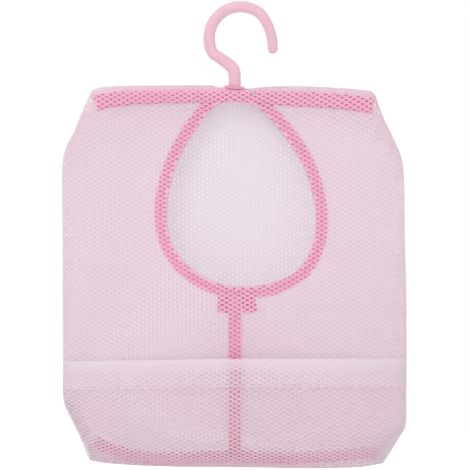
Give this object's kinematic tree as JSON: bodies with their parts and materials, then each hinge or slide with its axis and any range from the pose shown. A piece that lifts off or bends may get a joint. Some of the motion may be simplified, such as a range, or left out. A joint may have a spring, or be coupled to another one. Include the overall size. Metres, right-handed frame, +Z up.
{
  "type": "hanging mesh storage bag",
  "caption": "Flat-backed hanging bag of open net with an egg-shaped front opening, a front pocket and a swivelling plastic hook on a hidden hanger.",
  "frame": {"origin": "the crown inside the hook, where a rail or peg carries the bag", "axes": "+Z up along the hanging bag, the front with the opening faces -Y, the flat back faces +Y"},
  "size_m": [0.2924, 0.0459, 0.3969],
  "materials": {
    "plastic": "pale pink moulded polypropylene, soft gloss",
    "net": "pale pink polyester net with small six-sided holes",
    "tape": "strong pink woven tape, matt",
    "thread": "pink sewing thread"
  },
  "bodies": {
    "hook": {"hook": "plastic"},
    "bag": {"hanger_bar": "plastic", "top_sleeve": "net", "sleeve_tape": "tape", "sleeve_stitch": "thread", "slit_bar_tack": "thread", "front_left_panel": "net", "front_right_panel": "net", "back_panel": "net", "opening_binding_left": "tape", "opening_binding_right": "tape", "opening_stitch_left": "thread", "opening_stitch_right": "thread", "centre_tape": "tape", "centre_stitch": "thread", "bottom_tape": "tape", "bottom_stitch": "thread", "corner_seam_top_left": "net", "corner_seam_top_right": "net", "corner_seam_bottom_left": "net", "corner_seam_bottom_right": "net", "front_pocket": "net", "pocket_hem": "net", "hem_stitch": "thread"}
  },
  "joints": [
    {"name": "hook_swivel", "type": "hinge", "parent": "hook", "child": "bag", "pos_m": [-0.0049, 0, -0.07], "axis": [0, 0, 1], "continuous": true}
  ]
}
